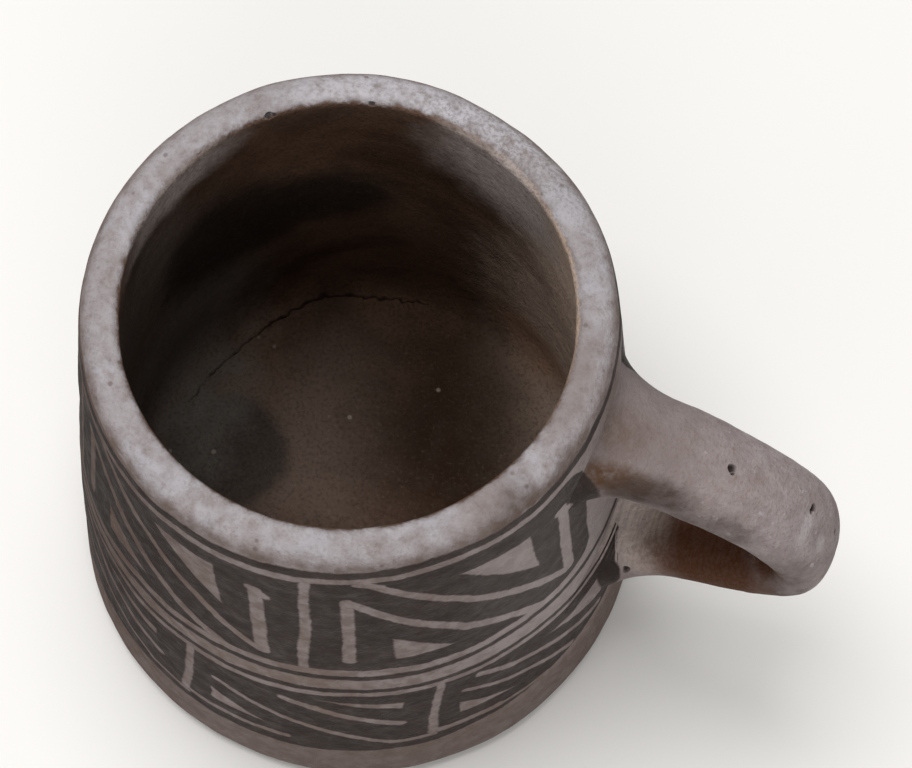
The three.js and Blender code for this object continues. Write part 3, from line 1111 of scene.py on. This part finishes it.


# Clay of the handle: slip worn by handling, brown at the roots and dark under the loop, with the pot's
# paint.
strapClay = {
    "slipPale": (147, 137, 136), "slipDull": (132, 121, 120), "slipBrown": (116, 95, 82),
    "rootGrey": (112, 101, 99), "chalk": (174, 168, 169), "grime": (66, 54, 49),
    "rootBrown": (84, 62, 46), "underBrown": (74, 44, 26), "underPale": (206, 190, 181),
}
strapStains = {
    "rootStain": (
        ((49.5, -10, 94), (4.5, 3, 4), 1.2, 0.5, 1.0),
        ((54, -9.4, 91.5), (5, 3, 3), 1.3, 0.5, 1.0),
        ((51, -2, 96), (6, 4, 3), 1.5, 0.7, 0.5),
    ),
    "smudge": (
        ((58, -9, 90), (9, 3, 3.2), 0.8, 0.5, 1.0),
        ((70, -9.4, 85), (9, 2.6, 4), 1.3, 0.6, 0.6),
        # painted shade on the front of the bend's lower side
        ((84, -10, 66), (7, 3.4, 12), 0.9, 0.6, 0.55),
    ),
    "rubbed": (
        ((85.2, -2.4, 79.9), (0.9, 3.2, 1.1), 0.9, 0.5, 1.0),
        ((88.6, -2.6, 75.8), (0.8, 1.5, 2.6), 2.2, 0.4, 1.0),
    ),
    # the inner face of the lower limb: pale at the root, with painted light there, smoked brown further
    # out
    "innerRoot": (((57, -1, 50.5), (7.5, 9, 5), 0.8, 0.5, 1.0),),
    "smoked": (
        ((72.6, -3, 54.5), (15.2, 15, 9), 0.6, 0.5, 1.0),
        ((80.5, 0, 67), (4.5, 12, 9), 0.8, 0.45, 1.0),
    ),
    # the brush ran over the front of the lower root
    "overrun": (((53.6, -11.3, 47.2), (2.3, 2.5, 5.4), 0.4, 0.12, 1.0),),
}
strapCoats = {
    "slip": (
        ("slipPale", 1.0, ("Mottle", 0.30, 0.70)),
        ("slipBrown", 0.35, ("Blotch", 0.45, 0.75)),
        ("slipBrown", 0.4, ("Grain", 0.54, 0.70)),
        ("chalk", 0.6, ("Fine", 0.62, 0.74)),
        ("chalk", 0.6, "Pale"),
        ("slipBrown", 0.4, "Dark"),
        ("rootGrey", 0.7, ("Clear", 26.0, 6.0)),
        ("rootBrown", 1.0, "rootStain", ("Fine", 0.35, 0.60, 0.5, 1.0)),
        # smudges, and painted shade on the front of the bend
        ("grime", 1.0, "smudge", ("Mottle", 0.35, 0.60, 0.95, 0.75)),
        ("chalk", 0.42, "rubbed"),
        # painted light on the pale root of the lower limb's inner face
        ("underPale", 1.0, "innerRoot", ("marks", 0.0, 1.0, 0.6, 0.9)),
        ("underBrown", 1.0, "smoked", ("marks", 0.0, 1.0, 1.0, 0.94)),
    ),
    "paint": (("paintThin", 1.0, ("Fine", 0.40, 0.72)),),
}
strapLooks = {
    "dirt": 0.9,
    "roughness": (0.3, 0.7, 0.8, 0.58),
    # marks across the inner face
    "fibres": (1700.0, 3.0, 0.6),
    "fibreStretch": (1.0, 0.10, 1.0),
    "marks": (0.36, 0.62),
    # how far out from the wall the paint runs up the roots, in mm
    "ragged": 1.6,
    "soft": 0.3,
    "upperRoot": 4.0,
    # the lower root: further out the lower down, and nothing behind the front
    "lowerRoot": {"depth": 55.0, "slope": 1.6, "least": 1.8, "most": 6.5},
    "frontAngles": (-4.0, -1.5),
    "behind": -1.0,
    "rootDepths": (46.0, 50.0),
}


def makeStrapMaterial():
    material, tree, shader = startMaterial("slippedStrap")
    shade = shades({**potClay, **strapClay})
    spot, masks = readClay(tree, strapStains)
    depth = masks["Depth"]
    stretched = span(tree, "MULTIPLY", spot, strapLooks["fibreStretch"])
    fibres = cloud(tree, stretched, *strapLooks["fibres"])
    masks["marks"] = rise(tree, fibres, *strapLooks["marks"])
    slip = layCoats(tree, shade["slipDull"], strapCoats["slip"], masks, shade)
    painted = layCoats(tree, shade["paint"], strapCoats["paint"], masks, shade)

    root = strapLooks["lowerRoot"]
    below = minus(tree, depth, root["depth"])
    limit = calc(tree, "MULTIPLY_ADD", below, root["slope"], root["least"])
    limit = calc(tree, "MINIMUM", calc(tree, "MAXIMUM", limit, root["least"]), root["most"])
    limit = rise(tree, masks["Angle"], *strapLooks["frontAngles"], limit, strapLooks["behind"])
    limit = rise(tree, depth, *strapLooks["rootDepths"], strapLooks["upperRoot"], limit)
    near = sway(tree, masks["Mottle"], strapLooks["ragged"], masks["Clear"])
    soft = strapLooks["soft"]
    onRoot = rise(tree, minus(tree, near, limit), soft, -soft)
    onWall = place(tree, wallBelow, Position=spot)["Position"]
    paint = times(tree, place(tree, fretPaint, Position=onWall)["Paint"], onRoot)
    paint = calc(tree, "MAXIMUM", paint, masks["overrun"])
    colour = blend(tree, paint, slip, painted)
    finishClay(tree, shader, colour, masks, strapLooks, shade["dirt"])
    return material


mugBody.data.materials.append(makeWallMaterial())
mugHandle.data.materials.append(makeStrapMaterial())
print("clay finished")

# Floor, light and camera.
studio = {
    "floorSize": 6.0,
    "floorTint": (236, 234, 231),
    "floorRoughness": 0.85,
    "aim": (0, 0, 0.06),
    "key": {"at": (-0.20, 0.10, 1.22), "size": 0.8, "power": 12.6},
    "fill": {"at": (0.35, -0.9, 0.75), "size": 0.8, "power": 3.4},
    "room": 0.35,
}
photoView = {
    "lens": 127.2,
    "sensor": 36.0,
    "distance": 0.550,
    "elevation": 67.55,
    "turn": 23.35,
    "yaw": -1.8242,
    "pitch": -1.4482,
    "roll": -3.6463,
}


def makeFloor():
    bpy.ops.object.select_all(action="DESELECT")
    bpy.ops.mesh.primitive_plane_add(size=studio["floorSize"], location=(0, 0, 0))
    floor = bpy.context.object
    floor.name = "studioFloor"
    paper, tree, shader = startMaterial("paperFloor")
    shader.inputs["Base Color"].default_value = tint(*studio["floorTint"])
    shader.inputs["Roughness"].default_value = studio["floorRoughness"]
    floor.data.materials.append(paper)


def makeLight(name, plan):
    lamp = bpy.data.lights.new(name, "AREA")
    lamp.shape = "DISK"
    lamp.size = plan["size"]
    lamp.energy = plan["power"]
    holder = bpy.data.objects.new(name, lamp)
    bpy.context.scene.collection.objects.link(holder)
    stand = Vector(plan["at"])
    aim = (Vector(studio["aim"]) - stand).to_track_quat("-Z", "Y")
    holder.matrix_world = Matrix.Translation(stand) @ aim.to_matrix().to_4x4()


def makeCamera():
    eye = bpy.data.cameras.new("photoCamera")
    eye.lens = photoView["lens"]
    eye.sensor_fit = "HORIZONTAL"
    eye.sensor_width = photoView["sensor"]
    holder = bpy.data.objects.new("photoCamera", eye)
    bpy.context.scene.collection.objects.link(holder)
    tilt = radians(90 - photoView["elevation"])
    away = photoView["distance"]
    turn = Matrix.Rotation(radians(photoView["turn"]), 4, "Z")
    stand = Vector((0, -away * sin(tilt), mug["height"] + away * cos(tilt)))
    aim = Matrix.Rotation(tilt, 4, "X")
    for label, axis in (("yaw", "Y"), ("pitch", "X"), ("roll", "Z")):
        aim = aim @ Matrix.Rotation(radians(photoView[label]), 4, axis)
    holder.matrix_world = turn @ Matrix.Translation(stand) @ aim
    bpy.context.scene.camera = holder


makeFloor()
makeLight("keyLight", studio["key"])
makeLight("fillLight", studio["fill"])
makeCamera()
room = bpy.data.worlds.new("studioRoom")
room.use_nodes = True
glow = room.node_tree.nodes["Background"]
glow.inputs["Color"].default_value = (1, 1, 1, 1)
glow.inputs["Strength"].default_value = studio["room"]
bpy.context.scene.world = room
bpy.context.scene.view_settings.view_transform = "Standard"
print("studio set")

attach(mugBody, "root")
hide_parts("base_disc", "wall_coil_1", "wall_coil_2", "wall_coil_3", "wall_coil_4",
            "wall_coil_5", "wall_coil_6", "wall_coil_7", "rim_coil")
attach(mugHandle, "root")
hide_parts("handle_strap", "upper_handle_weld", "lower_handle_weld")
print("pieces ride on the frame")
